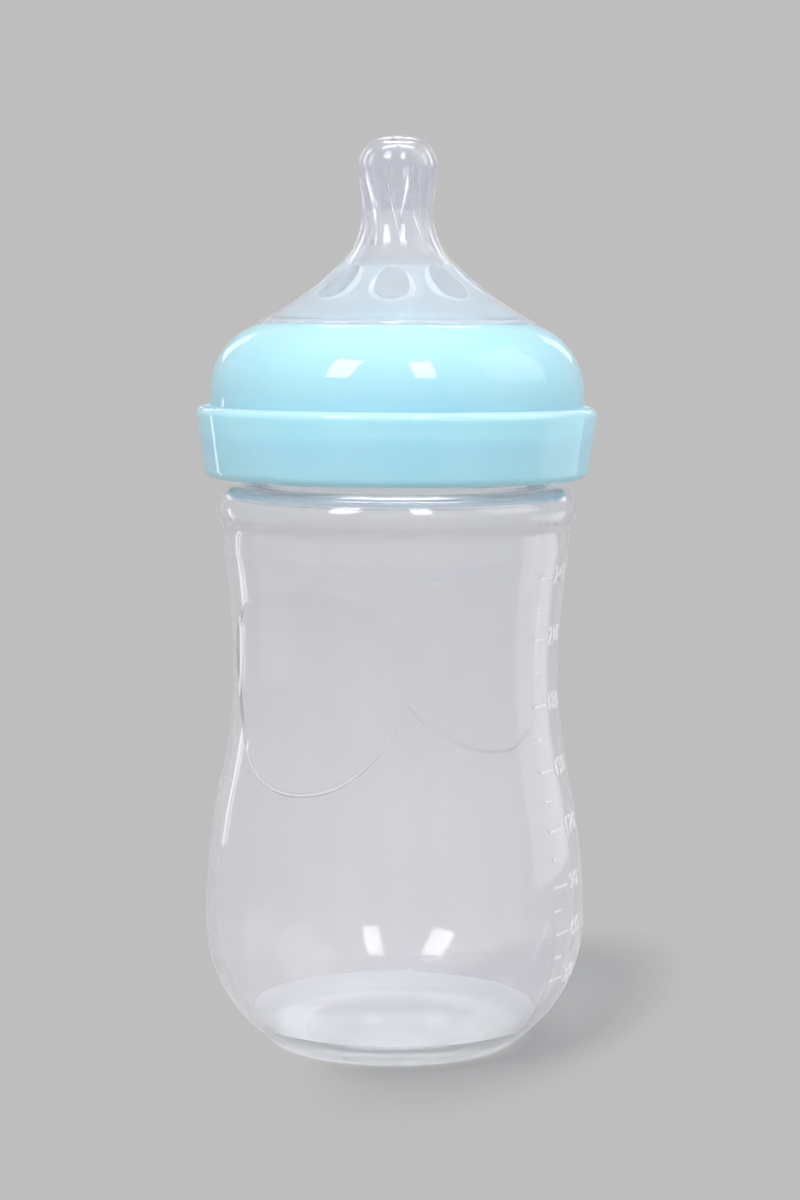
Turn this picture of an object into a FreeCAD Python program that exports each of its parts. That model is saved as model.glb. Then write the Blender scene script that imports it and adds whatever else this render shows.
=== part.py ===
"""Wide-neck baby bottle: a clear bottle, a screw ring and a silicone teat clamped under the ring.

Millimetres, +Z up, origin at the middle of the foot, finger grips facing -Y and +Y.
"""
import FreeCAD
import Part
import math
import os
import re

import Sketcher

# Driving sizes in millimetres, degrees and counts
SIZES = [
    ("bottle_height", "120", "foot to rim"),
    ("waist_radius", "29.65", "narrowest part of the bottle"),
    ("belly_swell", "5.1", "how much wider the belly is"),
    ("belly_height", "22.5", "height of the widest part"),
    ("turn_rise", "27.3", "belly to where the wall turns from the belly's curve to the waist's"),
    ("foot_inset", "12.6", "belly to where the bowl meets the standing plane"),
    ("foot_round", "3", "rounding of the foot"),
    ("foot_land", "7", "width of the foot around the pushed-up middle"),
    ("punt_rise", "1.6", "height of the pushed-up middle"),
    ("collar_flare", "1.7", "waist to the upright wall under the shoulder bead"),
    ("collar_rise", "21.5", "waist to where that wall begins"),
    ("collar_round", "3", "hollow corner between that wall and the bead"),
    ("bead_proud", "1.45", "how far the shoulder bead stands out"),
    ("bead_rise", "7.9", "foot of the upright wall to the widest part of the bead"),
    ("bead_round", "3.95", "radius of the bead's section"),
    ("bottle_wall", "1.5", "wall of the bottle"),
    ("base_thickness", "2.4", "floor of the bottle"),
    ("floor_round", "8", "hollow corner between the floor and the bowl"),
    ("shoulder_width", "2.15", "top of the bead to the neck"),
    ("neck_wall", "2.2", "wall of the neck"),
    ("neck_length", "18.15", "shoulder to rim"),
    ("neck_round", "1", "hollow corner at the foot of the neck"),
    ("rim_round", "0.6", "outer edge of the rim"),
    ("grip_rise", "2.3", "waist up to the middle of the finger grips"),
    ("grip_depth", "1.2", "how far a grip is pressed in"),
    ("grip_face_radius", "34.5", "curve of a grip around the bottle"),
    ("grip_lower_sweep", "70", "curve of a grip from its middle down"),
    ("grip_upper_sweep", "48", "curve of a grip from its middle up"),
    ("ring_gap", "1.6", "shoulder to the foot of the ring"),
    ("thread_room", "1.8", "neck to the bore of the ring"),
    ("skirt_wall", "1.6", "threaded inner skirt of the ring"),
    ("hollow_width", "2", "skirt to the dome's shell"),
    ("ring_wall", "1.8", "outer shell of the ring"),
    ("ledge_width", "3.2", "ledge that clamps the flange"),
    ("seat_step", "1.4", "step from the seat above the ledge to the hole for the teat"),
    ("opening_round", "0.8", "edge of that hole"),
    ("deck_thickness", "2", "top of the ring beside the hole"),
    ("crown_rise", "9.2", "ledge to the top of the ring"),
    ("dome_round", "12.6", "shoulder of the dome"),
    ("lip_drop", "5.9", "ledge down to the top of the flared band"),
    ("lip_wall", "1.05", "thickness of the band's top edge"),
    ("lip_bevel", "1.35", "height of that edge's rounding"),
    ("moat_width", "1.35", "groove between the dome and the band"),
    ("moat_depth", "3.8", "depth of that groove"),
    ("moat_floor", "2", "thickness under it"),
    ("band_taper", "1.55", "how much narrower the band's foot is"),
    ("corner_land", "0.15", "flat left inside the rounding of the band's foot"),
    ("flange_thickness", "2.2", "clamped flange of the teat"),
    ("flange_clearance", "0.6", "flange to the bore of the ring"),
    ("fit_clearance", "0.35", "teat to the hole and seat of the ring"),
    ("catch_overlap", "1.1", "edge of the teat that lies over the ring"),
    ("catch_clearance", "0.15", "that edge to the dome"),
    ("catch_edge", "0.25", "thickness of that edge"),
    ("teat_wall", "1.8", "wall of the teat"),
    ("tip_wall", "1.6", "wall at the tip"),
    ("throat_radius", "6.45", "narrowest part of the teat"),
    ("throat_rise", "20", "top of the ring to the narrowest part"),
    ("bulb_swell", "0.7", "how much wider the bulb is"),
    ("bulb_rise", "8.1", "throat to the widest part of the bulb"),
    ("tip_rise", "5.35", "widest part of the bulb to the tip"),
    ("tip_radius", "12.5", "curve of the tip"),
    ("flare_round", "13", "curve from the throat into the skirt"),
    ("flare_angle", "45", "slope where the skirt begins, from upright"),
    ("feed_hole_radius", "0.4", "hole in the tip"),
    ("vent_radius", "0.6", "air vent above the flange"),
    ("vent_rise", "3", "top of the flange to the vent"),
    ("petal_count", "8", "soft petals around the skirt"),
    ("petal_ring_radius", "14", "widest part of a petal on the inner skin"),
    ("petal_half_width", "3.1", "half the width of its floor"),
    ("petal_length", "9.6", "length of its floor down the slope"),
    ("petal_tip_round", "2", "rounding of its upper end"),
    ("petal_depth", "0.7", "how far it thins the wall"),
    ("petal_bevel", "40", "slope of its edge, from square to the skin"),
    ("teat_turn", "30", "turn of the teat from the front of the bottle"),
    ("rib_count", "8", "spiral ribs in the throat"),
    ("rib_depth", "0.55", "how far a rib stands out"),
    ("rib_half_width", "0.8", "half its width"),
    ("rib_root", "0.5", "how far it reaches into the wall"),
    ("rib_reach", "6.5", "throat down to the lower end of the ribs"),
    ("rib_twist", "15", "turn of a rib from the throat to either end"),
]

# Sizes that follow from the driving ones, as formulas
WORKED_OUT = {
    "belly_radius": "waist_radius + belly_swell",
    "waist_rise": "bottle_height - neck_length - bead_round - bead_rise - collar_rise - belly_height",
    "waist_height": "belly_height + waist_rise",
    "turn_height": "belly_height + turn_rise",
    "turn_radius": "belly_radius - belly_swell * turn_rise / waist_rise",
    "foot_radius": "belly_radius - foot_inset",
    "bowl_round": "(foot_inset ^ 2 + belly_height ^ 2) / (2 * foot_inset)",
    "bowl_centre": "belly_radius - bowl_round",
    "punt_radius": "foot_radius - foot_land",
    "collar_radius": "waist_radius + collar_flare",
    "collar_height": "waist_height + collar_rise",
    "bead_centre": "collar_radius + bead_proud - bead_round",
    "bead_height": "collar_height + bead_rise",
    "bead_foot": "bead_height - sqrt(bead_round ^ 2 - (collar_radius - bead_centre) ^ 2)",
    "shoulder_top": "bead_height + bead_round",
    "neck_radius": "bead_centre - shoulder_width",
    "neck_bore_radius": "neck_radius - neck_wall",
    "inner_bead_round": "bead_round - bottle_wall",
    "inner_collar_radius": "collar_radius - bottle_wall",
    "inner_bead_foot": "bead_height - sqrt(inner_bead_round ^ 2 - (inner_collar_radius - bead_centre) ^ 2)",
    "inner_bowl_foot": "bowl_centre"
                       " + sqrt((bowl_round - bottle_wall) ^ 2 - (belly_height - base_thickness) ^ 2)",
    "grip_height": "waist_height + grip_rise",
    "grip_axis": "grip_face_radius - waist_radius + grip_depth",
    # A grip's sweep ends 0.8 of its radius up or down, where it has moved out by 0.4 of it
    "grip_foot": "grip_height - 0.8 * grip_lower_sweep",
    "grip_foot_radius": "grip_face_radius + 0.4 * grip_lower_sweep",
    "grip_head": "grip_height + 0.8 * grip_upper_sweep",
    "grip_head_radius": "grip_face_radius + 0.4 * grip_upper_sweep",
    "ring_bore_radius": "neck_radius + thread_room",
    "skirt_radius": "ring_bore_radius + skirt_wall",
    "ledge_height": "bottle_height + flange_thickness",
    "ring_foot": "shoulder_top + ring_gap - ledge_height",
    "seat_radius": "ring_bore_radius - ledge_width",
    "opening_radius": "seat_radius - seat_step",
    "dome_hollow_radius": "skirt_radius + hollow_width",
    "dome_radius": "dome_hollow_radius + ring_wall",
    "dome_centre": "dome_radius - dome_round",
    "dome_spring": "crown_rise - sqrt(dome_round ^ 2 - (opening_radius - dome_centre) ^ 2)",
    "hollow_top": "dome_spring + sqrt((dome_round - ring_wall) ^ 2 - (skirt_radius - dome_centre) ^ 2)",
    "moat_bottom": "0 - lip_drop - moat_depth",
    "lip_inner_radius": "dome_radius + moat_width",
    "lip_radius": "lip_inner_radius + lip_wall",
    "band_foot_radius": "lip_radius - band_taper",
    "band_hollow_radius": "band_foot_radius - ring_wall",
    "flange_radius": "ring_bore_radius - flange_clearance",
    "crown_top": "flange_thickness + crown_rise",
    "groove_radius": "opening_radius - fit_clearance",
    "groove_top": "crown_top + catch_clearance",
    "groove_foot": "crown_top - deck_thickness - fit_clearance",
    "plug_radius": "seat_radius - fit_clearance",
    "catch_radius": "opening_radius + catch_overlap",
    "catch_foot": "flange_thickness + dome_spring + catch_clearance"
                  " + sqrt(dome_round ^ 2 - (catch_radius - dome_centre) ^ 2)",
    "catch_top": "catch_foot + catch_edge",
    "throat_height": "crown_top + throat_rise",
    "bulb_height": "throat_height + bulb_rise",
    "bulb_radius": "throat_radius + bulb_swell",
    "tip_height": "bulb_height + tip_rise",
    "tip_centre": "tip_height - tip_radius",
    "cheek_round": "(tip_radius ^ 2 - bulb_radius ^ 2 - (bulb_height - tip_centre) ^ 2)"
                   " / (2 * (tip_radius - bulb_radius))",
    "cheek_centre": "bulb_radius - cheek_round",
    "cheek_share": "tip_radius / (tip_radius - cheek_round)",
    "inner_cheek_share": "(tip_radius - tip_wall) / (tip_radius - cheek_round)",
    "flare_centre": "throat_radius + flare_round",
    "flare_end_radius": "flare_centre - flare_round * cos(flare_angle)",
    "flare_end_height": "throat_height - flare_round * sin(flare_angle)",
    "inner_flare_round": "flare_round + teat_wall",
    "skirt_run": "catch_radius - flare_end_radius",
    "skirt_fall": "flare_end_height - catch_top",
    "skirt_round": "(skirt_run ^ 2 + skirt_fall ^ 2)"
                   " / (2 * (skirt_run * cos(flare_angle) - skirt_fall * sin(flare_angle)))",
    "skirt_centre": "flare_end_radius + skirt_round * cos(flare_angle)",
    "skirt_centre_height": "flare_end_height + skirt_round * sin(flare_angle)",
    "inner_skirt_round": "skirt_round + teat_wall",
    "inner_groove_radius": "groove_radius - teat_wall",
    "inner_plug_radius": "plug_radius - teat_wall",
    "inner_step_height": "groove_foot - teat_wall",
    "petal_height": "skirt_centre_height"
                    " - sqrt(inner_skirt_round ^ 2 - (petal_ring_radius - skirt_centre) ^ 2)",
    "petal_tilt": "asin((skirt_centre - petal_ring_radius) / inner_skirt_round)",
    "petal_tip_centre": "petal_length - petal_half_width - petal_tip_round",
    "petal_side_round": "(petal_half_width ^ 2 + petal_tip_centre ^ 2 - petal_tip_round ^ 2)"
                        " / (2 * (petal_half_width - petal_tip_round))",
    "petal_side_centre": "petal_side_round - petal_half_width",
    "petal_tip_share": "petal_side_round / (petal_side_round - petal_tip_round)",
    "rib_foot_height": "throat_height - rib_reach",
    "rib_foot_radius": "flare_centre - sqrt(inner_flare_round ^ 2 - rib_reach ^ 2)",
}

doc = FreeCAD.newDocument("BabyBottle")
sheet = doc.addObject("Spreadsheet::Sheet", "Sizes")
for row, (alias, value, meaning) in enumerate(SIZES, start=1):
    sheet.set(f"A{row}", meaning)
    sheet.set(f"B{row}", value)
    sheet.setAlias(f"B{row}", alias)
doc.recompute()
ALIASES = {alias for alias, value, meaning in SIZES}


def formula(text):
    """The text with each worked-out size spelled out and each driving size read from the sheet."""

    def spell(match):
        word = match.group()
        if word in WORKED_OUT:
            return f"({formula(WORKED_OUT[word])})"
        return f"Sizes.{word}" if word in ALIASES else word

    return re.sub(r"[a-z]\w*", spell, text)


def number(text):
    """The present value of a formula."""
    value = sheet.evalExpression(formula(text))
    return float(getattr(value, "Value", value))


def new_body(label):
    body = doc.addObject("PartDesign::Body", label)
    body.Label = label
    return body


def new_sketch(body, name, role):
    """An empty sketch on one of the body's own origin planes."""
    sketch = body.newObject("Sketcher::SketchObject", name)
    plane = [item for item in body.Origin.OriginFeatures if item.Role == role][0]
    sketch.AttachmentSupport = [(plane, "")]
    sketch.MapMode = "FlatFace"
    return sketch


def turn_about(x, y, z):
    """A placement that turns about an axis, by an angle that a formula sets afterwards."""
    return FreeCAD.Placement(FreeCAD.Vector(), FreeCAD.Rotation(FreeCAD.Vector(x, y, z), 1))


def pin_point(sketch, geometry, point, across, up):
    """Ties one point of a sketch to two formulas."""
    for kind, axis, text in (("DistanceX", -2, across), ("DistanceY", -1, up)):
        if text == "0":
            sketch.addConstraint(Sketcher.Constraint("PointOnObject", geometry, point, axis))
        elif text is not None:
            index = sketch.addConstraint(Sketcher.Constraint(kind, -1, 1, geometry, point, number(text)))
            sketch.setExpression(f"Constraints[{index}]", formula(text))


def arc_centre(start, end, across, up):
    """The centre at equal distance from both ends that has the one coordinate given."""
    run, rise = start[0] - end[0], start[1] - end[1]
    level = (start[0] ** 2 - end[0] ** 2 + start[1] ** 2 - end[1] ** 2) / 2
    if across is not None:
        return across, (level - run * across) / rise
    return (level - rise * up) / run, up


def draw_outline(sketch, corners):
    """A closed outline. A corner is (across, up), or (across, up, centre_across, centre_up) where an arc
    leads on to the next corner, with one coordinate of the arc's centre given and the other None."""
    places = [(number(corner[0]), number(corner[1])) for corner in corners]
    joints = []
    for index, corner in enumerate(corners):
        start = places[index]
        end = places[(index + 1) % len(places)]
        if len(corner) == 2:
            edge = Part.LineSegment(FreeCAD.Vector(*start), FreeCAD.Vector(*end))
            joints.append((sketch.addGeometry(edge), 1, 2))
            continue
        across, up = (None if text is None else number(text) for text in corner[2:])
        centre = arc_centre(start, end, across, up)
        first = math.atan2(start[1] - centre[1], start[0] - centre[0])
        last = math.atan2(end[1] - centre[1], end[0] - centre[0])
        leftward = math.sin(last - first) > 0
        circle = Part.Circle(FreeCAD.Vector(*centre), FreeCAD.Vector(0, 0, 1), math.dist(start, centre))
        arc = Part.ArcOfCircle(circle, *((first, last) if leftward else (last, first)))
        joints.append((sketch.addGeometry(arc), *((1, 2) if leftward else (2, 1))))
    for index, (geometry, start, end) in enumerate(joints):
        following = joints[(index + 1) % len(joints)]
        sketch.addConstraint(Sketcher.Constraint("Coincident", geometry, end, following[0], following[1]))
        pin_point(sketch, geometry, start, *corners[index][:2])
        if len(corners[index]) == 4:
            pin_point(sketch, geometry, 3, *corners[index][2:])


def turned(body, name, corners):
    """A full turn of an outline drawn in radius and height."""
    sketch = new_sketch(body, name + "_outline", "XZ_Plane")
    draw_outline(sketch, corners)
    turn = body.newObject("PartDesign::Revolution", name)
    turn.Profile = sketch
    turn.ReferenceAxis = (sketch, ["V_Axis"])
    turn.Angle = 360
    doc.recompute()
    return turn


def rounded(body, name, size, places):
    """Rounds the circular edges of the body's tip that lie at the given radius and height."""
    base = body.Tip
    edges = []
    for radius, height in places:
        spot = (number(radius), number(height))
        for index, edge in enumerate(base.Shape.Edges, start=1):
            if not edge.Degenerated and isinstance(edge.Curve, Part.Circle):
                found = (edge.Curve.Radius, edge.Curve.Center.z - body.Placement.Base.z)
                if math.dist(found, spot) < 0.01:
                    edges.append(f"Edge{index}")
    fillet = body.newObject("PartDesign::Fillet", name)
    fillet.Base = (base, edges)
    fillet.setExpression("Radius", formula(size))
    doc.recompute()


def patterned(body, name, feature, count):
    """Repeats a feature evenly around the body's own axis."""
    pattern = body.newObject("PartDesign::PolarPattern", name)
    pattern.Originals = [feature]
    pattern.Axis = ([item for item in body.Origin.OriginFeatures if item.Role == "Z_Axis"][0], [""])
    pattern.Angle = 360
    pattern.setExpression("Occurrences", formula(count))
    body.Tip = pattern
    doc.recompute()


def waist_curve(inset):
    """The bottle's wall from the belly over the waist to the collar, moved in by a wall or by nothing."""
    belly, waist, collar = (f"{name}_radius - {inset}" for name in ("belly", "waist", "collar"))
    return [
        (belly, "belly_height", None, "belly_height"),
        (f"turn_radius - {inset}", "turn_height", None, "waist_height"),
        (waist, "waist_height", None, "waist_height"),
        (collar, "collar_height"),
    ]


def grip_block(label, inset, side):
    """A waisted block about an axis behind the bottle's: what it leaves out is one finger grip."""
    body = new_body(label)
    foot, face, head = (f"grip_{name}_radius - {inset}" for name in ("foot", "face", "head"))
    turned(body, label + "_turn", [
        ("0", "0 - base_thickness"),
        (foot, "0 - base_thickness"),
        (foot, "grip_foot", None, "grip_height"),
        (face, "grip_height", None, "grip_height"),
        (head, "grip_head"),
        (head, "bottle_height + neck_length"),
        ("0", "bottle_height + neck_length"),
    ])
    body.setExpression("Placement.Base.y", formula(f"{side} * grip_axis"))
    return body


def common(label, shapes):
    overlap = doc.addObject("Part::MultiCommon", label)
    overlap.Shapes = shapes
    return overlap


def make_bottle():
    """The outer form less the inner one, each a turned profile pressed in by the two finger grips."""
    outer = new_body("bottle_outside")
    turned(outer, "bottle_outside_turn", [
        ("0", "punt_rise", "0", None),
        ("punt_radius", "0"),
        ("foot_radius", "0", None, "belly_height"),
        *waist_curve("0"),
        ("collar_radius", "bead_foot", "bead_centre", None),
        ("bead_centre", "shoulder_top"),
        ("neck_radius", "shoulder_top"),
        ("neck_radius", "bottle_height"),
        ("0", "bottle_height"),
    ])
    rounded(outer, "foot_rounding", "foot_round", [("foot_radius", "0")])
    rounded(outer, "collar_rounding", "collar_round", [("collar_radius", "bead_foot")])
    rounded(outer, "neck_rounding", "neck_round", [("neck_radius", "shoulder_top")])
    rounded(outer, "rim_rounding", "rim_round", [("neck_radius", "bottle_height")])

    inner = new_body("bottle_inside")
    inner_shoulder = "bead_height + inner_bead_round"
    turned(inner, "bottle_inside_turn", [
        ("0", "punt_rise + base_thickness", "0", None),
        ("inner_bowl_foot", "base_thickness", None, "belly_height"),
        *waist_curve("bottle_wall"),
        ("inner_collar_radius", "inner_bead_foot", "bead_centre", None),
        ("bead_centre", inner_shoulder),
        ("neck_bore_radius", inner_shoulder),
        ("neck_bore_radius", "bottle_height + neck_wall"),
        ("0", "bottle_height + neck_wall"),
    ])
    rounded(inner, "floor_rounding", "floor_round", [("inner_bowl_foot", "base_thickness")])
    hollow_corner = ("inner_collar_radius", "inner_bead_foot")
    rounded(inner, "inner_collar_rounding", "collar_round + bottle_wall", [hollow_corner])
    rounded(inner, "mouth_rounding", "neck_round", [("neck_bore_radius", inner_shoulder)])

    outside = common("bottle_form", [
        outer,
        grip_block("front_grip", "0", "1"),
        grip_block("back_grip", "0", "-1"),
    ])
    inside = common("bottle_hollow", [
        inner,
        grip_block("front_grip_inside", "bottle_wall", "1"),
        grip_block("back_grip_inside", "bottle_wall", "-1"),
    ])
    bottle = doc.addObject("Part::Cut", "bottle")
    bottle.Base = outside
    bottle.Tool = inside
    return bottle


def make_screw_ring():
    """One moulding: a skirt, a ledge, and a hollow dome with a flared band. Its datum is the ledge."""
    ring = new_body("screw_ring")
    turned(ring, "ring_turn_profile", [
        ("ring_bore_radius", "ring_foot"),
        ("ring_bore_radius", "0"),
        ("seat_radius", "0"),
        ("seat_radius", "crown_rise - deck_thickness"),
        ("opening_radius", "crown_rise - deck_thickness"),
        ("opening_radius", "crown_rise", "dome_centre", None),
        ("dome_radius", "dome_spring"),
        ("dome_radius", "moat_bottom"),
        ("lip_inner_radius", "moat_bottom"),
        ("lip_inner_radius", "0 - lip_drop", None, "0 - lip_drop - lip_bevel"),
        ("lip_radius", "0 - lip_drop - lip_bevel"),
        ("band_foot_radius", "ring_foot"),
        ("band_hollow_radius", "ring_foot"),
        ("band_hollow_radius", "moat_bottom - moat_floor"),
        ("dome_hollow_radius", "moat_bottom - moat_floor"),
        ("dome_hollow_radius", "dome_spring", "dome_centre", None),
        ("skirt_radius", "hollow_top"),
        ("skirt_radius", "ring_foot"),
    ])
    rounded(ring, "opening_rounding", "opening_round", [("opening_radius", "crown_rise")])
    rounded(ring, "band_rounding", "ring_wall - corner_land", [("band_foot_radius", "ring_foot")])
    ring.setExpression("Placement.Base.z", formula("ledge_height"))
    return ring


def add_petals(teat):
    """Egg-shaped hollows with bevelled edges on the inner skin of the skirt, cut from their floor inwards."""
    sketch = new_sketch(teat, "petal_outline", "XY_Plane")
    across = "petal_ring_radius + petal_depth * sin(petal_tilt)"
    up = "petal_height + petal_depth * cos(petal_tilt)"
    sketch.AttachmentOffset = turn_about(0, 1, 0)
    sketch.setExpression("AttachmentOffset.Rotation.Angle", formula("petal_tilt"))
    sketch.setExpression("AttachmentOffset.Base.x", formula(across))
    sketch.setExpression("AttachmentOffset.Base.z", formula(up))
    tip = "0 - petal_tip_centre * petal_tip_share"
    cheek = "petal_side_centre * (petal_tip_share - 1)"
    draw_outline(sketch, [
        ("0", "0 - petal_half_width", "0", None),
        ("petal_half_width", "0", "0", None),
        ("0", "petal_half_width", None, "0 - petal_side_centre"),
        (tip, cheek, "0 - petal_tip_centre", None),
        (tip, f"0 - {cheek}", None, "petal_side_centre"),
    ])
    petal = teat.newObject("PartDesign::Pocket", "petal")
    petal.Profile = sketch
    petal.setExpression("Length", formula("teat_wall + petal_depth"))
    petal.setExpression("TaperAngle", formula("petal_bevel"))
    doc.recompute()
    patterned(teat, "petals", petal, "petal_count")


def add_ribs(teat):
    """Spiral ribs that keep the throat from collapsing, each a loft through three turned sections."""
    sections = []
    stations = [
        ("rib_foot_radius", "rib_foot_height", "rib_twist"),
        ("throat_radius - teat_wall", "throat_height", "0"),
        ("bulb_radius - teat_wall", "bulb_height", "0 - rib_twist"),
    ]
    for index, (skin, height, turn) in enumerate(stations, start=1):
        sketch = new_sketch(teat, f"rib_section_{index}", "XY_Plane")
        sketch.AttachmentOffset = turn_about(0, 0, 1)
        sketch.setExpression("AttachmentOffset.Rotation.Angle", formula(turn))
        sketch.setExpression("AttachmentOffset.Base.z", formula(height))
        crest, root = f"{skin} - rib_depth", f"{skin} + rib_root"
        draw_outline(sketch, [
            (crest, "0 - rib_half_width / 2"),
            (root, "0 - rib_half_width"),
            (root, "rib_half_width"),
            (crest, "rib_half_width / 2"),
        ])
        sections.append(sketch)
    rib = teat.newObject("PartDesign::AdditiveLoft", "rib")
    rib.Profile = sections[0]
    rib.Sections = sections[1:]
    doc.recompute()
    patterned(teat, "ribs", rib, "rib_count")


def bored(body, name, role, radius, up, reverse):
    """A round hole cut one way from the body's own axis plane."""
    sketch = new_sketch(body, name + "_outline", role)
    circle = sketch.addGeometry(Part.Circle(FreeCAD.Vector(), FreeCAD.Vector(0, 0, 1), number(radius)))
    size = sketch.addConstraint(Sketcher.Constraint("Radius", circle, number(radius)))
    sketch.setExpression(f"Constraints[{size}]", formula(radius))
    pin_point(sketch, circle, 3, "0", up)
    hole = body.newObject("PartDesign::Pocket", name)
    hole.Profile = sketch
    hole.Type = "ThroughAll"
    hole.Reversed = reverse
    doc.recompute()


def make_teat():
    """A soft bulb and skirt, a snap groove for the ring and a flange for the rim. Its datum is the rim."""
    teat = new_body("teat")
    bulb_middle = "(bulb_height + throat_height) / 2"
    cheek_top = "tip_centre + (bulb_height - tip_centre) * cheek_share"
    inner_cheek_top = "tip_centre + (bulb_height - tip_centre) * inner_cheek_share"
    turned(teat, "teat_turn", [
        ("0", "tip_height", "0", None),
        ("cheek_centre * cheek_share", cheek_top, None, "bulb_height"),
        ("bulb_radius", "bulb_height", None, "bulb_height"),
        ("(bulb_radius + throat_radius) / 2", bulb_middle, None, "throat_height"),
        ("throat_radius", "throat_height", None, "throat_height"),
        ("flare_end_radius", "flare_end_height", "skirt_centre", None),
        ("catch_radius", "catch_top"),
        ("catch_radius", "catch_foot"),
        ("groove_radius", "groove_top"),
        ("groove_radius", "groove_foot"),
        ("plug_radius", "groove_foot"),
        ("plug_radius", "flange_thickness"),
        ("flange_radius", "flange_thickness"),
        ("flange_radius", "0"),
        ("inner_plug_radius", "0"),
        ("inner_plug_radius", "inner_step_height"),
        ("inner_groove_radius", "groove_foot"),
        ("inner_groove_radius",
         "skirt_centre_height - sqrt(inner_skirt_round ^ 2 - (inner_groove_radius - skirt_centre) ^ 2)",
         "skirt_centre", None),
        ("flare_centre - inner_flare_round * cos(flare_angle)",
         "throat_height - inner_flare_round * sin(flare_angle)", None, "throat_height"),
        ("throat_radius - teat_wall", "throat_height", None, "throat_height"),
        ("(bulb_radius + throat_radius) / 2 - teat_wall", bulb_middle, None, "bulb_height"),
        ("bulb_radius - teat_wall", "bulb_height", None, "bulb_height"),
        ("cheek_centre * inner_cheek_share", inner_cheek_top, "0", None),
        ("0", "tip_height - tip_wall"),
    ])
    add_ribs(teat)
    add_petals(teat)
    bored(teat, "feed_hole", "XY_Plane", "feed_hole_radius", "0", True)
    bored(teat, "air_vent", "XZ_Plane", "vent_radius", "flange_thickness + vent_rise", True)
    teat.Placement = turn_about(0, 0, 1)
    teat.setExpression("Placement.Rotation.Angle", formula("teat_turn"))
    teat.setExpression("Placement.Base.z", formula("bottle_height"))
    return teat


pieces = [make_bottle(), make_screw_ring(), make_teat()]
doc.recompute()

for item in doc.Objects:
    faults = {"Invalid", "Error"} & set(item.State)
    if faults:
        raise RuntimeError(f"{item.Label} did not build: {sorted(faults)}")
for piece in pieces:
    if piece.Shape.isNull() or not piece.Shape.isValid() or len(piece.Shape.Solids) != 1:
        raise RuntimeError(f"{piece.Label} is not one sound solid")

os.makedirs("parts", exist_ok=True)
for piece in pieces:
    piece.Shape.exportStep(f"parts/{piece.Label}.step")
    print(f"{piece.Label}: {piece.Shape.Volume:.1f} mm3")
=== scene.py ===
"""Looks of the baby bottle: a clear plastic bottle, a milky blue screw ring and a clear silicone teat.

Metres, +Z up, origin at the middle of the foot. Azimuth 0 is seen from -Y, and 90 degrees from +X.
"""
import math

import bmesh
import bpy
from mathutils import Matrix, Vector
from mathutils.bvhtree import BVHTree


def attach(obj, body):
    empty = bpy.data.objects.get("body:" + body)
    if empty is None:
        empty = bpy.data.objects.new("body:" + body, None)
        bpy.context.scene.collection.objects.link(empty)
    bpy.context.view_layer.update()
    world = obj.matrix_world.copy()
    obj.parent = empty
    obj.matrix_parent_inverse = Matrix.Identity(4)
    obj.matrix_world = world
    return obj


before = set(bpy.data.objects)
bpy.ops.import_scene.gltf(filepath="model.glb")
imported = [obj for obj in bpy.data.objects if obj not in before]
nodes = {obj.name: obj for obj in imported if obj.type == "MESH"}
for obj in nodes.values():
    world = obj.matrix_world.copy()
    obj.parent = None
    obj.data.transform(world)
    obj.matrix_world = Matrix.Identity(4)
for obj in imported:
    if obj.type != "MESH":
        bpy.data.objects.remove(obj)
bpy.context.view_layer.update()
scene = bpy.context.scene
scene.view_settings.view_transform = "Standard"

# Light that is caught inside clear walls needs many bounces before it comes out again
scene.cycles.max_bounces = 32
scene.cycles.glossy_bounces = 16
scene.cycles.transmission_bounces = 24
scene.cycles.transparent_max_bounces = 32

MM = 0.001

# The camera: where it stands, how it tilts and rolls, how far it is off the bottle's axis, and its lens in mm
CAMERA_AZIMUTH = math.radians(34)
CAMERA_DISTANCE = 0.5
CAMERA_HEIGHT = 0.1315
CAMERA_PITCH = math.radians(5.772)
CAMERA_ROLL = math.radians(0.3)
CAMERA_ASIDE = 0.00075
LENS = 82.5
SENSOR_WIDTH = 36

# Studio grey of the floor and the background
STUDIO_GREY = (0.515, 0.515, 0.515, 1)

# How strongly polypropylene and silicone bend light, and how deep their moulded skin is at most
PLASTIC_IOR = 1.46
SILICONE_IOR = 1.41
SKIN_DEPTH = 0.4 * MM


def bearing(azimuth):
    """The level direction that an azimuth points in."""
    return Vector((math.sin(azimuth), -math.cos(azimuth), 0))


RIGHT_HAND = bearing(CAMERA_AZIMUTH + math.pi / 2)


# Node helpers

def place(tree, kind, fields=None, **sockets):
    """Adds a shader node, sets its fields, and sets or links its inputs by name."""
    made = tree.nodes.new(kind)
    for field, value in (fields or {}).items():
        setattr(made, field, value)
    for name, value in sockets.items():
        feed(tree, made, name.replace("_", " "), value)
    return made


def feed(tree, made, name, value):
    """Sets one input to a number or colour, or links it to another node's output."""
    socket = made.inputs[int(name)] if name.isdigit() else made.inputs[name]
    if isinstance(value, bpy.types.NodeSocket):
        tree.links.new(value, socket)
    else:
        socket.default_value = value


def maths(tree, operation, first, second):
    """One sum on two values."""
    made = tree.nodes.new("ShaderNodeMath")
    made.operation = operation
    feed(tree, made, "0", first)
    feed(tree, made, "1", second)
    return made.outputs[0]


def ramp_between(tree, value, low, high, bottom, top):
    """Maps a value smoothly from one span to another."""
    made = tree.nodes.new("ShaderNodeMapRange")
    made.interpolation_type = "SMOOTHSTEP"
    spans = {"Value": value, "From Min": low, "From Max": high, "To Min": bottom, "To Max": top}
    for name, setting in spans.items():
        feed(tree, made, name, setting)
    return made.outputs["Result"]


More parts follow.
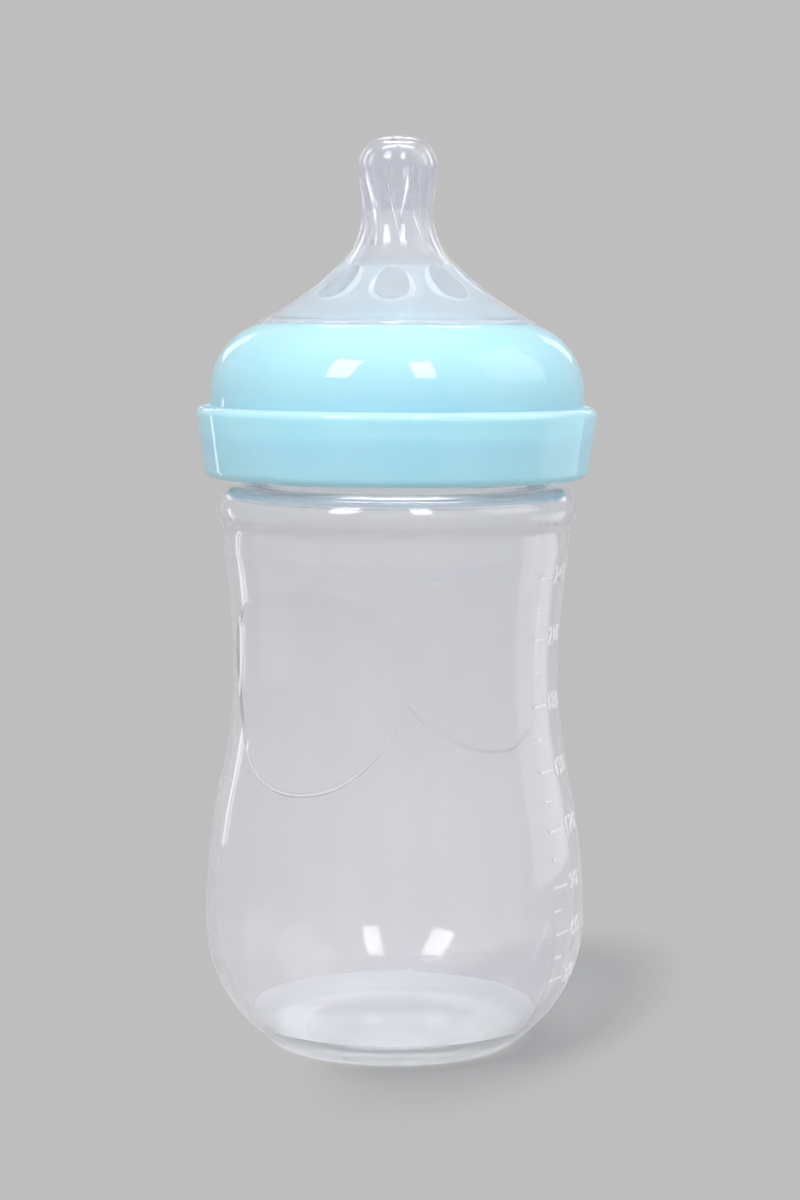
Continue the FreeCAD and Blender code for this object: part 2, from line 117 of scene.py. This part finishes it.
def blend_colours(tree, share, first, second):
    """A colour between two, at a share of the way from the first."""
    made = tree.nodes.new("ShaderNodeMix")
    made.data_type = "RGBA"
    made.clamp_factor = True
    feed(tree, made, "0", share)
    feed(tree, made, "6", first)
    feed(tree, made, "7", second)
    return made.outputs[2]


def distance(tree, where):
    """How far a point is from the origin."""
    made = place(tree, "ShaderNodeVectorMath", {"operation": "LENGTH"})
    feed(tree, made, "0", where)
    return made.outputs["Value"]


def object_place(tree):
    """The point on the surface, in metres."""
    return tree.nodes.new("ShaderNodeTexCoord").outputs["Object"]


def new_group(name, inputs, outputs):
    """An empty node group with number sockets."""
    group = bpy.data.node_groups.new(name, "ShaderNodeTree")
    for socket, setting in inputs.items():
        made = group.interface.new_socket(socket, in_out="INPUT", socket_type="NodeSocketFloat")
        made.default_value = setting
    for socket in outputs:
        group.interface.new_socket(socket, in_out="OUTPUT", socket_type="NodeSocketFloat")
    return group, group.nodes.new("NodeGroupInput"), group.nodes.new("NodeGroupOutput")


def moulded_skin():
    """The surface that a polished mould leaves: slow waves, a fine peel, and gloss that drifts a little."""
    group, given, result = new_group(
        "moulded_skin",
        {
            "Wave Size": 60.0,
            "Wave Depth": 1.0,
            "Peel Size": 900.0,
            "Peel Depth": 0.1,
            "Gloss": 0.1,
            "Gloss Drift": 0.05,
        },
        ["Roughness", "Height"],
    )
    where = object_place(group)
    waves = place(group, "ShaderNodeTexNoise", Vector=where, Scale=given.outputs["Wave Size"], Detail=1.0)
    peel = place(group, "ShaderNodeTexNoise", Vector=where, Scale=given.outputs["Peel Size"], Detail=2.0)
    wave_height = maths(group, "MULTIPLY", waves.outputs["Fac"], given.outputs["Wave Depth"])
    peel_height = maths(group, "MULTIPLY", peel.outputs["Fac"], given.outputs["Peel Depth"])
    feed(group, result, "Height", maths(group, "ADD", wave_height, peel_height))
    off_mean = maths(group, "SUBTRACT", waves.outputs["Fac"], 0.5)
    drift = maths(group, "MULTIPLY", off_mean, given.outputs["Gloss Drift"])
    feed(group, result, "Roughness", maths(group, "ADD", given.outputs["Gloss"], drift))
    return group


SKIN = moulded_skin()


def new_material(name):
    """A material with a Principled shader, its node tree and an output."""
    material = bpy.data.materials.new(name)
    material.use_nodes = True
    tree = material.node_tree
    tree.nodes.clear()
    shader = tree.nodes.new("ShaderNodeBsdfPrincipled")
    output = tree.nodes.new("ShaderNodeOutputMaterial")
    tree.links.new(shader.outputs[0], output.inputs["Surface"])
    return material, tree, shader


def set_sockets(shader, **values):
    """Sets inputs of a shader that are the same all over the surface."""
    for name, value in values.items():
        shader.inputs[name.replace("_", " ")].default_value = value


def let_light_through(tree, shader, share):
    """Lets a share of the lamps' light pass straight through a clear or milky wall."""
    output = next(made for made in tree.nodes if made.type == "OUTPUT_MATERIAL")
    clear = tree.nodes.new("ShaderNodeBsdfTransparent")
    path = tree.nodes.new("ShaderNodeLightPath")
    mixed = tree.nodes.new("ShaderNodeMixShader")
    tree.links.new(maths(tree, "MULTIPLY", path.outputs["Is Shadow Ray"], share), mixed.inputs[0])
    tree.links.new(shader.outputs[0], mixed.inputs[1])
    tree.links.new(clear.outputs[0], mixed.inputs[2])
    tree.links.new(mixed.outputs[0], output.inputs["Surface"])


def give_skin(tree, shader, bump, **settings):
    """Puts the moulded skin on a shader."""
    skin = tree.nodes.new("ShaderNodeGroup")
    skin.node_tree = SKIN
    for name, value in settings.items():
        skin.inputs[name.replace("_", " ")].default_value = value
    relief = place(tree, "ShaderNodeBump", Strength=bump, Distance=SKIN_DEPTH, Height=skin.outputs["Height"])
    tree.links.new(relief.outputs["Normal"], shader.inputs["Normal"])
    tree.links.new(skin.outputs["Roughness"], shader.inputs["Roughness"])


def clear_plastic(name, clearness, lit_through, thin, thick):
    """Blown polypropylene: clear, with a haze that runs in faint upright streaks and whitens the edges."""
    material, tree, shader = new_material(name)
    set_sockets(shader, IOR=PLASTIC_IOR, Transmission_Weight=clearness)
    set_sockets(shader, Sheen_Weight=0.5, Sheen_Roughness=0.3, Sheen_Tint=(0.95, 0.95, 1.0, 1))
    let_light_through(tree, shader, lit_through)
    give_skin(tree, shader, 0.06, Wave_Size=45.0, Wave_Depth=1.0, Peel_Size=700.0, Peel_Depth=0.005,
              Gloss=0.05, Gloss_Drift=0.05)
    where = object_place(tree)
    stretched = place(tree, "ShaderNodeMapping", Vector=where, Scale=(1.0, 1.0, 0.15))
    streaks = place(tree, "ShaderNodeTexNoise", Vector=stretched.outputs[0], Scale=160.0, Detail=3.0)
    haze = ramp_between(tree, streaks.outputs["Fac"], 0.3, 0.7, 0.0, 1.0)
    tree.links.new(blend_colours(tree, haze, thin, thick), shader.inputs["Base Color"])
    return material


def blue_plastic():
    """Milky light-blue polypropylene: glossy, a little light passing through thin edges."""
    material, tree, shader = new_material("blue_ring")
    set_sockets(shader, IOR=PLASTIC_IOR)
    set_sockets(shader, Subsurface_Weight=1.0, Subsurface_Radius=(0.7, 1.0, 1.0), Subsurface_Scale=4 * MM)
    let_light_through(tree, shader, 0.88)
    give_skin(tree, shader, 0.05, Wave_Size=50.0, Wave_Depth=1.0, Peel_Size=1400.0, Peel_Depth=0.02,
              Gloss=0.02, Gloss_Drift=0.01)
    where = object_place(tree)
    clouds = place(tree, "ShaderNodeTexNoise", Vector=where, Scale=55.0, Detail=2.0)
    milk = ramp_between(tree, clouds.outputs["Fac"], 0.3, 0.7, 0.0, 1.0)
    tint = blend_colours(tree, milk, (0.43, 0.72, 0.835, 1), (0.46, 0.74, 0.845, 1))
    tree.links.new(tint, shader.inputs["Base Color"])
    return material


def silicone(name, clearness, gloss, rim, thin, thick):
    """Silicone rubber, as clear and smooth as its mould was polished, with a white rim and faint clouds."""
    material, tree, shader = new_material(name)
    set_sockets(shader, IOR=SILICONE_IOR, Transmission_Weight=clearness)
    set_sockets(shader, Sheen_Weight=rim, Sheen_Roughness=0.22, Sheen_Tint=(0.96, 0.97, 1.0, 1))
    let_light_through(tree, shader, 0.75)
    give_skin(tree, shader, 0.04, Wave_Size=70.0, Wave_Depth=1.0, Peel_Size=1500.0, Peel_Depth=0.04,
              Gloss=gloss, Gloss_Drift=0.03)
    where = object_place(tree)
    clouds = place(tree, "ShaderNodeTexNoise", Vector=where, Scale=120.0, Detail=2.0)
    tree.links.new(blend_colours(tree, clouds.outputs["Fac"], thin, thick), shader.inputs["Base Color"])
    return material


def frosted_plastic():
    """The raised scale and the grips' fine lines: the bottle's own plastic, made whiter and less clear, which
    paints the highlights along their raised edges.
    """
    material, tree, shader = new_material("raised_scale")
    set_sockets(shader, IOR=PLASTIC_IOR, Transmission_Weight=0.65)
    let_light_through(tree, shader, 0.9)
    give_skin(tree, shader, 0.2, Wave_Size=400.0, Wave_Depth=0.6, Peel_Size=2600.0, Peel_Depth=0.5,
              Gloss=0.15, Gloss_Drift=0.06)
    where = object_place(tree)
    grain = place(tree, "ShaderNodeTexNoise", Vector=where, Scale=1800.0, Detail=1.0)
    tint = blend_colours(tree, grain.outputs["Fac"], (0.95, 0.95, 0.97, 1), (1.0, 1.0, 1.0, 1))
    tree.links.new(tint, shader.inputs["Base Color"])
    return material


# The finishes of each piece, in the order of their numbers on its faces
FINISHES = {
    "bottle": [
        clear_plastic("clear_bottle", clearness=0.89, lit_through=0.82,
                      thin=(0.955, 0.955, 0.985, 1), thick=(0.975, 0.975, 0.995, 1)),
        clear_plastic("thick_base", clearness=0.73, lit_through=0.95,
                      thin=(0.925, 0.955, 0.985, 1), thick=(0.945, 0.97, 0.995, 1)),
    ],
    "screw_ring": [blue_plastic()],
    "teat": [
        silicone("silicone", clearness=0.945, gloss=0.13, rim=0.7,
                 thin=(0.92, 0.93, 0.985, 1), thick=(0.94, 0.95, 1.0, 1)),
        # The satin skirt's blue tint is painted light: it stands in for the blue ring's light scattered in
        # the silicone
        silicone("satin_silicone", clearness=0.77, gloss=0.12, rim=0.5,
                 thin=(0.83, 0.92, 0.985, 1), thick=(0.86, 0.935, 0.99, 1)),
        silicone("hazy_silicone", clearness=0.84, gloss=0.06, rim=0.5,
                 thin=(0.92, 0.94, 0.98, 1), thick=(0.94, 0.955, 0.99, 1)),
        # The petals' bevelled edges: whiter and less clear, a painted highlight along them
        silicone("petal_edge", clearness=0.5, gloss=0.12, rim=0.8,
                 thin=(0.95, 0.97, 0.99, 1), thick=(0.97, 0.985, 1.0, 1)),
    ],
}
for name, finishes in FINISHES.items():
    nodes[name].data.materials.clear()
    for finish in finishes:
        nodes[name].data.materials.append(finish)
# The whiter finish of the scale and the grip lines is a painted highlight
SCALE_FINISH = frosted_plastic()
CLEAR_WALL, THICK_BASE = range(2)
GLOSSY, SATIN, HAZY, PAINTED_PETAL_HIGHLIGHT = range(4)

# Where the bottle's thick base ends, inside by height and outside by radius
BASE_TOP_INSIDE = 5.25 * MM
BASE_RADIUS_OUTSIDE = 22.94 * MM

# Where the teat's satin skirt ends, on its outer and inner skin, and where the hazy flare above it ends
SKIRT_TOP_OUTSIDE = 142.21 * MM
SKIRT_TOP_INSIDE = 140.94 * MM
FLARE_TOP = 151.41 * MM

# The petals: their places round the skirt, the slope of their floors, and how to tell their floors and edges
PETAL_COUNT = 8
PETAL_BEARING = math.radians(30)
PETAL_TILT = math.radians(38.6)
PETAL_REACH = 18 * MM
FLOOR_FLATNESS = math.radians(0.3)
EDGE_STEEPNESS = math.radians(25)


def whiten_base(bottle):
    """Gives the hazier finish to the bottle's floor and foot."""
    for face in bottle.polygons:
        corners = [bottle.vertices[index].co for index in face.vertices]
        low = max(corner.z for corner in corners) < BASE_TOP_INSIDE
        inside = face.normal.z > 0
        under = max(corner.xy.length for corner in corners) < BASE_RADIUS_OUTSIDE
        face.material_index = THICK_BASE if low and (inside or under) else CLEAR_WALL


def skirt_inward(out):
    """The direction that the skirt's inner skin faces, on the side that a level direction points to."""
    return -(out * math.sin(PETAL_TILT) + Vector((0, 0, math.cos(PETAL_TILT))))


def on_petal_floor(face):
    """Whether a face of the teat is the flat, polished floor of a petal."""
    for index in range(PETAL_COUNT):
        out = bearing(PETAL_BEARING + 2 * math.pi * index / PETAL_COUNT)
        if face.normal.angle(skirt_inward(out), math.pi) < FLOOR_FLATNESS:
            return True
    return False


def on_petal_edge(face):
    """Whether a face of the teat is the bevelled edge of a petal."""
    out = Vector((face.center.x, face.center.y, 0))
    if out.length > PETAL_REACH or face.normal.dot(out) > 0:
        return False
    return face.normal.angle(skirt_inward(out.normalized()), 0) > EDGE_STEEPNESS


def finish_teat(teat):
    """Gives the skirt a satin finish, its petals clear floors and whitened edges that paint their highlight,
    and the flare a faint haze.
    """
    for face in teat.polygons:
        outside = face.normal.x * face.center.x + face.normal.y * face.center.y > 0
        top = max(teat.vertices[index].co.z for index in face.vertices)
        in_skirt = top < (SKIRT_TOP_OUTSIDE if outside else SKIRT_TOP_INSIDE)
        if in_skirt and on_petal_floor(face):
            face.material_index = GLOSSY
        elif in_skirt and on_petal_edge(face):
            face.material_index = PAINTED_PETAL_HIGHLIGHT
        elif in_skirt:
            face.material_index = SATIN
        elif outside and top < FLARE_TOP:
            face.material_index = HAZY
        else:
            face.material_index = GLOSSY


whiten_base(nodes["bottle"].data)
finish_teat(nodes["teat"].data)


# Pieces that only the dressed part has

def keep_mesh(name, mesh, body, finish):
    """Makes a piece of a finished mesh, riding on a body."""
    piece = bpy.data.objects.new(name, mesh)
    scene.collection.objects.link(piece)
    mesh.materials.clear()
    mesh.materials.append(finish)
    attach(piece, body)


def close_ridge(name, rings):
    """A smooth closed mesh over a row of sections, each a ring of points."""
    form = bmesh.new()
    rows = [[form.verts.new(point) for point in ring] for ring in rings]
    for first, second in zip(rows, rows[1:]):
        for index in range(len(first)):
            following = (index + 1) % len(first)
            form.faces.new((first[index], first[following], second[following], second[index]))
    form.faces.new(rows[0])
    form.faces.new(rows[-1])
    bmesh.ops.recalc_face_normals(form, faces=form.faces)
    for face in form.faces:
        face.smooth = True
    mesh = bpy.data.meshes.new(name)
    form.to_mesh(mesh)
    form.free()
    return mesh


BOTTLE_SKIN = BVHTree.FromObject(nodes["bottle"], bpy.context.evaluated_depsgraph_get())
CLEAR_OF_BOTTLE = 60 * MM


def on_bottle(azimuth, height, lift):
    """The point at a distance outside the bottle's outer face."""
    outward = bearing(azimuth)
    start = outward * CLEAR_OF_BOTTLE + Vector((0, 0, height))
    spot, normal = BOTTLE_SKIN.ray_cast(start, -outward)[:2]
    return spot + normal * lift


# The raised scale: where its lines start, the radius it is drawn for, its relief, and the sizes of its marks
SCALE_START = math.radians(89.5)
SCALE_RADIUS = 31 * MM
RELIEF_SUNK = -0.01 * MM
RELIEF_PROUD = 0.2 * MM
LONG_LINE = 4.4 * MM
LONG_LINE_THICKNESS = 0.45 * MM
SHORT_LINE = 2.2 * MM
SHORT_LINE_THICKNESS = 0.35 * MM
ROUND_END_STEPS = 6
NUMBER_SIZE = 4.6 * MM
NUMBER_START = 5.4 * MM

# Height of each mark of the raised scale, by millilitres
SCALE_MARKS = {
    240: 86.7 * MM,
    210: 75.6 * MM,
    180: 63.6 * MM,
    150: 52.0 * MM,
    120: 41.6 * MM,
    90: 31.6 * MM,
    60: 23.2 * MM,
    30: 14.6 * MM,
}


def wrap_on_bottle(mesh, height):
    """Bends a flat relief, drawn in x and y with its top above z = 0, onto the bottle."""
    for vertex in mesh.vertices:
        across, up, lift = vertex.co
        proud = RELIEF_PROUD if lift > 0 else RELIEF_SUNK
        vertex.co = on_bottle(SCALE_START + across / SCALE_RADIUS, height + up, proud)
    mesh.update()


def scale_bar(name, height, length, thickness):
    """One raised line with round ends."""
    half = thickness / 2
    outline = []
    for centre, first in ((length - half, -90), (half, 90)):
        for step in range(ROUND_END_STEPS + 1):
            angle = math.radians(first + 180 * step / ROUND_END_STEPS)
            outline.append((centre + half * math.cos(angle), half * math.sin(angle)))
    form = bmesh.new()
    face = form.faces.new([form.verts.new((x, y, -1)) for x, y in outline])
    top = bmesh.ops.extrude_face_region(form, geom=[face])
    raised = [part for part in top["geom"] if isinstance(part, bmesh.types.BMVert)]
    bmesh.ops.translate(form, vec=(0, 0, 2), verts=raised)
    bmesh.ops.recalc_face_normals(form, faces=form.faces)
    mesh = bpy.data.meshes.new(name)
    form.to_mesh(mesh)
    form.free()
    wrap_on_bottle(mesh, height)
    keep_mesh(name, mesh, "bottle", SCALE_FINISH)


def scale_number(name, text, height):
    """One raised number, beside its line."""
    words = bpy.data.curves.new(name, "FONT")
    words.body = text
    words.size = NUMBER_SIZE
    words.extrude = RELIEF_PROUD
    words.resolution_u = 3
    words.align_y = "CENTER"
    drawn = bpy.data.objects.new(name, words)
    scene.collection.objects.link(drawn)
    bpy.context.view_layer.update()
    mesh = bpy.data.meshes.new_from_object(drawn.evaluated_get(bpy.context.evaluated_depsgraph_get()))
    bpy.data.objects.remove(drawn)
    bpy.data.curves.remove(words)
    mesh.name = name
    for vertex in mesh.vertices:
        vertex.co.x += NUMBER_START
    wrap_on_bottle(mesh, height)
    keep_mesh(name, mesh, "bottle", SCALE_FINISH)


for amount, height in SCALE_MARKS.items():
    scale_bar(f"scale_line_{amount}", height, LONG_LINE, LONG_LINE_THICKNESS)
    scale_number(f"scale_number_{amount}", str(amount), height)
marks = sorted(SCALE_MARKS)
for lower, upper in zip(marks, marks[1:]):
    middle = (SCALE_MARKS[lower] + SCALE_MARKS[upper]) / 2
    scale_bar(f"scale_line_{(lower + upper) // 2}", middle, SHORT_LINE, SHORT_LINE_THICKNESS)

# The finger grips: how far behind the bottle's axis theirs lies, and their curves around and along the bottle
GRIP_AXIS = 6.05 * MM
GRIP_FACE_RADIUS = 34.5 * MM
GRIP_HEIGHT = 70.8 * MM
GRIP_LOWER_SWEEP = 70 * MM
GRIP_UPPER_SWEEP = 48 * MM
GRIP_FOOT = 49.3 * MM
GRIP_HEAD = 85.25 * MM

# The fine line round a grip's lower edge, a painted highlight along the grip's crease: its section in half
# widths and mm of lift, its run round the grip, in degrees of a turn that has its lowest point at 270, and
# the share of its size that its ends keep
GRIP_LINE_SECTION = ((1.0, -0.01), (0.6, 0.03), (0.2, 0.05), (-0.2, 0.05), (-0.6, 0.03), (-1.0, -0.01))
GRIP_LINE_HALF_WIDTH = 0.35 * MM
GRIP_LINE_FIRST = 195
GRIP_LINE_RUN = 150
GRIP_LINE_STEPS = 96
GRIP_LINE_FADE_STEPS = 32
GRIP_LINE_END = 0.05


def grip_half_width(height):
    """The azimuth from the middle of a finger grip to its edge."""
    wall = on_bottle(math.pi / 2, height, 0).xy.length
    sweep = GRIP_LOWER_SWEEP if height < GRIP_HEIGHT else GRIP_UPPER_SWEEP
    face = GRIP_FACE_RADIUS + sweep - math.sqrt(sweep ** 2 - (height - GRIP_HEIGHT) ** 2)
    share = (face ** 2 - wall ** 2 - GRIP_AXIS ** 2) / (2 * wall * GRIP_AXIS)
    return math.acos(min(1.0, share))


def grip_edge(name, facing):
    """A fine raised line in the whiter finish round the lower edge of a finger grip, which fades out upwards:
    a painted highlight along the grip's crease.
    """
    steps = GRIP_LINE_STEPS
    path = []
    for step in range(steps + 1):
        angle = math.radians(GRIP_LINE_FIRST + GRIP_LINE_RUN * step / steps)
        height = (GRIP_FOOT + GRIP_HEAD) / 2 + (GRIP_HEAD - GRIP_FOOT) / 2 * math.sin(angle)
        path.append((math.copysign(grip_half_width(height), math.cos(angle)), height))
    rings = []
    for step, (middle, height) in enumerate(path):
        before, after = path[max(step - 1, 0)], path[min(step + 1, steps)]
        along = Vector(((after[0] - before[0]) * SCALE_RADIUS, after[1] - before[1])).normalized()
        fade = min(1.0, min(step, steps - step) / GRIP_LINE_FADE_STEPS + GRIP_LINE_END)
        ring = []
        for aside, lift in GRIP_LINE_SECTION:
            reach = aside * fade * GRIP_LINE_HALF_WIDTH
            azimuth = middle + along.y * reach / SCALE_RADIUS
            ring.append(on_bottle(facing + azimuth, height - along.x * reach, lift * fade * MM))
        rings.append(ring)
    keep_mesh(name, close_ridge(name, rings), "bottle", SCALE_FINISH)


grip_edge("grip_edge_front", 0)
grip_edge("grip_edge_back", math.pi)

# The two-start thread: its lead, its section in mm of height and shares of depth, how fast it grows from its
# ends, as a multiple of the share of its length, the share of depth that its ends keep, and its sizes on the
# neck and in the ring
THREAD_LEAD = 8 * MM
THREAD_SECTION = ((0.85, 0.0), (0.55, 0.75), (0.2, 1.0), (-0.2, 1.0), (-0.55, 0.75), (-0.85, 0.0))
THREAD_STEPS_PER_TURN = 96
THREAD_STARTS = 2
THREAD_GROWTH = 14
THREAD_END = 0.02
NECK_THREAD = {"root": 26.6 * MM, "crest": 27.85 * MM, "low": 107.6 * MM, "turns": 0.95}
RING_THREAD = {"root": 28.6 * MM, "crest": 27.35 * MM, "low": 105.6 * MM, "turns": 0.8}


def thread_ridge(name, body, slot, finish, start, root, crest, low, turns):
    """One start of a right-hand thread: a rounded ridge that fades in and out."""
    steps = round(THREAD_STEPS_PER_TURN * turns)
    rings = []
    for step in range(steps + 1):
        share = step / steps
        angle = start + 2 * math.pi * turns * share
        middle = low + THREAD_LEAD * turns * share
        fade = min(1.0, min(share, 1 - share) * THREAD_GROWTH + THREAD_END)
        ring = []
        for up, out in THREAD_SECTION:
            radius = root + (crest - root) * out * fade
            ring.append(bearing(angle) * radius + Vector((0, 0, middle + up * MM)))
        rings.append(ring)
    keep_mesh(name, close_ridge(name, rings), body, finish)


for start in range(THREAD_STARTS):
    turned = 2 * math.pi * start / THREAD_STARTS
    thread_ridge(f"neck_thread_{start + 1}", "bottle", "clear_bottle", FINISHES["bottle"][CLEAR_WALL], turned,
                 **NECK_THREAD)
    thread_ridge(f"ring_thread_{start + 1}", "screw_ring", "blue_ring", FINISHES["screw_ring"][0], turned,
                 **RING_THREAD)


# Studio

FLOOR_RADIUS = 3.0

# The floor's grey where it is lit, and a paler one painted on close by, seen only by the light that it throws
# back at the bottle: painted bounce light
LIT_GREY = (0.345, 0.345, 0.345, 1)
PAINTED_BOUNCE_GREY = (0.85, 0.85, 0.85, 1)
PAINTED_BOUNCE_FULL = 40 * MM
PAINTED_BOUNCE_END = 70 * MM

# A painted ring of light on the floor under the foot, as extra emission, standing in for light that the thick
# base gathers there
PAINTED_GLOW_INNER = (12 * MM, 17 * MM)
PAINTED_GLOW_OUTER = (20.5 * MM, 23.5 * MM)
PAINTED_GLOW_STRENGTH = 0.9

# The oval in which the floor shows the bottle's real cast shadow, with flat grey all round it, so its outline
# is painted: its middle, to the right of the bottle and behind it, its turn, its half sizes, the shares of
# them between which it fades, and where it starts round the foot, which leaves the floor under the foot
# painted bright
SHADOW_ASIDE = 22 * MM
SHADOW_BEHIND = 15 * MM
SHADOW_TURN = CAMERA_AZIMUTH - math.radians(20)
SHADOW_SIZE = (30 * MM, 85 * MM, 1.0)
SHADOW_FADE = (0.55, 1.0)
SHADOW_START = (18 * MM, 27 * MM)

# Soft light from all round
AMBIENT = (0.645, 0.655, 0.675, 1)


def shown_rays(tree, path):
    """1 for the rays that show a surface: straight to the camera, in a reflection or through a clear wall."""
    seen = maths(tree, "MAXIMUM", path.outputs["Is Camera Ray"], path.outputs["Is Glossy Ray"])
    return maths(tree, "MAXIMUM", seen, path.outputs["Is Transmission Ray"])


def studio_floor():
    """A level floor in the studio grey, with the real shadow shown only in a set oval near the bottle, a
    painted glow under its foot, and painted paler bounce light close by.
    """
    material = bpy.data.materials.new("studio_floor")
    material.use_nodes = True
    tree = material.node_tree
    tree.nodes.clear()
    output = tree.nodes.new("ShaderNodeOutputMaterial")
    path = tree.nodes.new("ShaderNodeLightPath")
    where = object_place(tree)
    away = distance(tree, where)
    # Painted glow: a ring of extra emission on the floor under the foot
    painted_glow = maths(tree, "MULTIPLY", ramp_between(tree, away, *PAINTED_GLOW_INNER, 0.0, 1.0),
                     ramp_between(tree, away, *PAINTED_GLOW_OUTER, PAINTED_GLOW_STRENGTH, 0.0))
    flat = place(tree, "ShaderNodeEmission", Color=STUDIO_GREY, Strength=maths(tree, "ADD", painted_glow, 1.0))
    # Painted bounce light: diffuse rays near the bottle see a paler floor
    painted_bounce = maths(tree, "MULTIPLY", path.outputs["Is Diffuse Ray"],
                   ramp_between(tree, away, PAINTED_BOUNCE_FULL, PAINTED_BOUNCE_END, 1.0, 0.0))
    lit = place(tree, "ShaderNodeBsdfDiffuse", Color=blend_colours(tree, painted_bounce, LIT_GREY, PAINTED_BOUNCE_GREY))
    # Painted shadow outline: the lit floor and its real shadow show only inside this oval, and not under the
    # foot
    outside = ramp_between(tree, away, *SHADOW_START, 0.0, 1.0)
    middle = RIGHT_HAND * SHADOW_ASIDE - bearing(CAMERA_AZIMUTH) * SHADOW_BEHIND
    shaped = place(tree, "ShaderNodeMapping", {"vector_type": "TEXTURE"}, Vector=where, Location=middle,
                   Rotation=(0, 0, SHADOW_TURN), Scale=SHADOW_SIZE)
    aside = distance(tree, shaped.outputs[0])
    near = maths(tree, "MULTIPLY", outside, ramp_between(tree, aside, *SHADOW_FADE, 1.0, 0.0))
    share = maths(tree, "MULTIPLY", shown_rays(tree, path), maths(tree, "SUBTRACT", 1.0, near))
    mixed = tree.nodes.new("ShaderNodeMixShader")
    tree.links.new(share, mixed.inputs[0])
    tree.links.new(lit.outputs[0], mixed.inputs[1])
    tree.links.new(flat.outputs[0], mixed.inputs[2])
    tree.links.new(mixed.outputs[0], output.inputs["Surface"])
    form = bmesh.new()
    bmesh.ops.create_circle(form, cap_ends=True, segments=96, radius=FLOOR_RADIUS)
    mesh = bpy.data.meshes.new("studio_floor")
    form.to_mesh(mesh)
    form.free()
    mesh.materials.append(material)
    floor = bpy.data.objects.new("studio_floor", mesh)
    scene.collection.objects.link(floor)


def studio_world():
    """Soft light from all round, and the studio grey wherever the background shows."""
    world = bpy.data.worlds.new("studio")
    scene.world = world
    world.use_nodes = True
    tree = world.node_tree
    tree.nodes.clear()
    path = tree.nodes.new("ShaderNodeLightPath")
    shown = blend_colours(tree, shown_rays(tree, path), AMBIENT, STUDIO_GREY)
    sky = place(tree, "ShaderNodeBackground", Color=shown, Strength=1.0)
    output = tree.nodes.new("ShaderNodeOutputWorld")
    tree.links.new(sky.outputs[0], output.inputs["Surface"])


def soft_box(name, aside, elevation, reach, width, height, brightness, aim):
    """A rectangular light that faces a height on the bottle's axis, placed by its angle beside the camera."""
    azimuth = CAMERA_AZIMUTH + math.radians(aside)
    rise = math.radians(elevation)
    away = bearing(azimuth) * math.cos(rise) + Vector((0, 0, math.sin(rise)))
    lamp = bpy.data.lights.new(name, "AREA")
    lamp.shape = "RECTANGLE"
    lamp.size = width
    lamp.size_y = height
    lamp.energy = brightness * math.pi * width * height
    made = bpy.data.objects.new(name, lamp)
    scene.collection.objects.link(made)
    made.location = away * reach + Vector((0, 0, aim))
    made.rotation_euler = away.to_track_quat("Z", "Y").to_euler()


# Name, degrees beside the camera, elevation, distance, width, height, brightness, and the height it aims at
LAMPS = (
    ("window_left", -38, 40, 1.0, 0.25, 0.48, 10.2, 0.09),
    ("window_right", 18, 40, 1.0, 0.19, 0.46, 10.2, 0.09),
    ("side_box", 110, 0, 0.3, 0.22, 0.1, 0.65, 0.052),
    ("rim_strip", -127, 0, 0.3, 0.016, 0.1, 2.0, 0.06),
    ("rim_left", -150, 16, 0.4, 0.07, 0.12, 1.1, 0.145),
    ("rim_right", 150, 16, 0.4, 0.07, 0.12, 1.1, 0.145),
    ("tip_light", 180, 36, 0.4, 0.16, 0.12, 2.6, 0.155),
    ("top_box", 0, 80, 1.3, 1.5, 1.5, 0.38, 0.09),
    ("fill_box", 85, 35, 1.2, 0.9, 0.9, 1.25, 0.09),
)

studio_floor()
studio_world()
for lamp in LAMPS:
    soft_box(*lamp)

lens = bpy.data.cameras.new("camera")
lens.sensor_width = SENSOR_WIDTH
lens.lens = LENS
camera = bpy.data.objects.new("camera", lens)
scene.collection.objects.link(camera)
stand = bearing(CAMERA_AZIMUTH) * CAMERA_DISTANCE + RIGHT_HAND * CAMERA_ASIDE
stand.z = CAMERA_HEIGHT
camera.matrix_world = (
    Matrix.Translation(stand)
    @ Matrix.Rotation(CAMERA_AZIMUTH, 4, "Z")
    @ Matrix.Rotation(math.pi / 2 - CAMERA_PITCH, 4, "X")
    @ Matrix.Rotation(CAMERA_ROLL, 4, "Z")
)
scene.camera = camera
